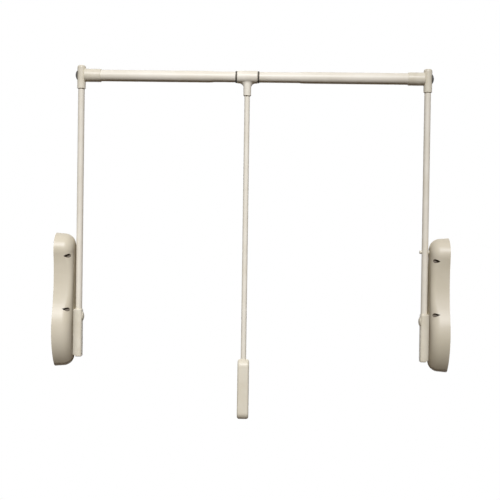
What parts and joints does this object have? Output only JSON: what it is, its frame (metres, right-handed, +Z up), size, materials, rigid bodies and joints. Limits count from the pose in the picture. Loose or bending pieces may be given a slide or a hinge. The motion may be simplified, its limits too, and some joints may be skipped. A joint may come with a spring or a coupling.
{
  "type": "pull down closet rod",
  "caption": "Wardrobe lift: spring-assisted arms on two wall housings carry a telescopic crossbar that a hanging pull rod swings forward and down; satin champagne finish",
  "frame": {"origin": "on the swing axis of the arms, in the plane of the left wardrobe wall", "axes": "X across the wardrobe from the left wall to the right wall, -Y to the front, +Z up"},
  "size_m": [1.087, 0.128, 0.9778],
  "materials": {
    "champagne_paint": "satin",
    "champagne_plastic": "satin",
    "zinc_steel": "zinc plated",
    "spring_steel": "oiled",
    "cast_alloy": "die cast",
    "black_paint": "satin",
    "bronze_paint": "satin",
    "black_rubber": "matte",
    "white_nylon": "matte"
  },
  "bodies": {
    "left_housing": {"left_wall_plate": "zinc_steel", "left_bearing_plate": "zinc_steel", "left_plate_pillars": "zinc_steel", "left_housing_cover": "champagne_plastic", "left_cover_screws": "zinc_steel", "left_axle_bushes": "white_nylon", "left_lift_spring": "spring_steel", "left_spring_guide": "zinc_steel", "left_spring_seat": "cast_alloy", "left_damper_body": "black_paint", "left_stop_sleeves": "black_rubber", "left_rack_guide": "white_nylon"},
    "left_rack_unit": {"left_rack": "zinc_steel", "left_damper_rod": "zinc_steel"},
    "left_arm": {"left_arm_block": "champagne_paint", "left_arm_tube": "champagne_paint", "left_axle": "zinc_steel", "left_pinion": "zinc_steel", "left_axle_screw": "zinc_steel", "left_clamp_screw": "champagne_plastic", "left_corner": "champagne_paint", "left_corner_bolt": "bronze_paint", "left_bar_plug": "white_nylon", "left_bar_sleeve": "champagne_paint"},
    "bar_centre": {"centre_tube": "champagne_paint", "tee_rings": "black_rubber"},
    "pull": {"tee": "champagne_paint", "pull_rod": "champagne_paint", "grip": "champagne_plastic", "rod_screws": "zinc_steel"},
    "right_arm": {"right_arm_block": "champagne_paint", "right_arm_tube": "champagne_paint", "right_axle": "zinc_steel", "right_pinion": "zinc_steel", "right_axle_screw": "zinc_steel", "right_clamp_screw": "champagne_plastic", "right_corner": "champagne_paint", "right_corner_bolt": "bronze_paint", "right_bar_plug": "white_nylon", "right_bar_sleeve": "champagne_paint", "right_arm_peg": "champagne_plastic"},
    "right_housing": {"right_wall_plate": "zinc_steel", "right_bearing_plate": "zinc_steel", "right_plate_pillars": "zinc_steel", "right_housing_cover": "champagne_plastic", "right_cover_screws": "zinc_steel", "right_axle_bushes": "white_nylon", "right_lift_spring": "spring_steel", "right_spring_guide": "zinc_steel", "right_spring_seat": "cast_alloy", "right_damper_body": "black_paint", "right_stop_sleeves": "black_rubber", "right_rack_guide": "white_nylon"},
    "right_rack_unit": {"right_rack": "zinc_steel", "right_damper_rod": "zinc_steel"}
  },
  "joints": [
    {"name": "arm_swing", "type": "hinge", "parent": "left_housing", "child": "left_arm", "pos_m": [0, 0, 0], "axis": [1, 0, 0], "range_deg": [0, 110], "stiffness_Nm_per_rad": 22, "springref_deg": -63.03},
    {"name": "bar_left_slide", "type": "slide", "parent": "left_arm", "child": "bar_centre", "axis": [1, 0, 0], "range_m": [-0.06, 0.06]},
    {"name": "bar_right_slide", "type": "slide", "parent": "bar_centre", "child": "right_arm", "axis": [1, 0, 0], "range_m": [-0.095, 0.06]},
    {"name": "right_housing_turn", "type": "hinge", "parent": "right_arm", "child": "right_housing", "pos_m": [1.087, 0, 0], "axis": [1, 0, 0], "range_deg": [-110, 0]},
    {"name": "pull_swing", "type": "hinge", "parent": "bar_centre", "child": "pull", "pos_m": [0.5248, 0, 0.748], "axis": [1, 0, 0], "continuous": true},
    {"name": "left_rack_slide", "type": "slide", "parent": "left_housing", "child": "left_rack_unit", "axis": [0, 0, 1], "range_m": [0, 0.0308], "deforming": ["left_lift_spring"]},
    {"name": "right_rack_slide", "type": "slide", "parent": "right_housing", "child": "right_rack_unit", "axis": [0, 0, 1], "range_m": [0, 0.0308], "deforming": ["right_lift_spring"]}
  ],
  "couplings": [
    {"joint": "right_housing_turn", "follows": "arm_swing", "ratio": -1},
    {"joint": "left_rack_slide", "follows": "arm_swing", "m_per_rad": 0.016},
    {"joint": "right_rack_slide", "follows": "arm_swing", "m_per_rad": 0.016}
  ]
}
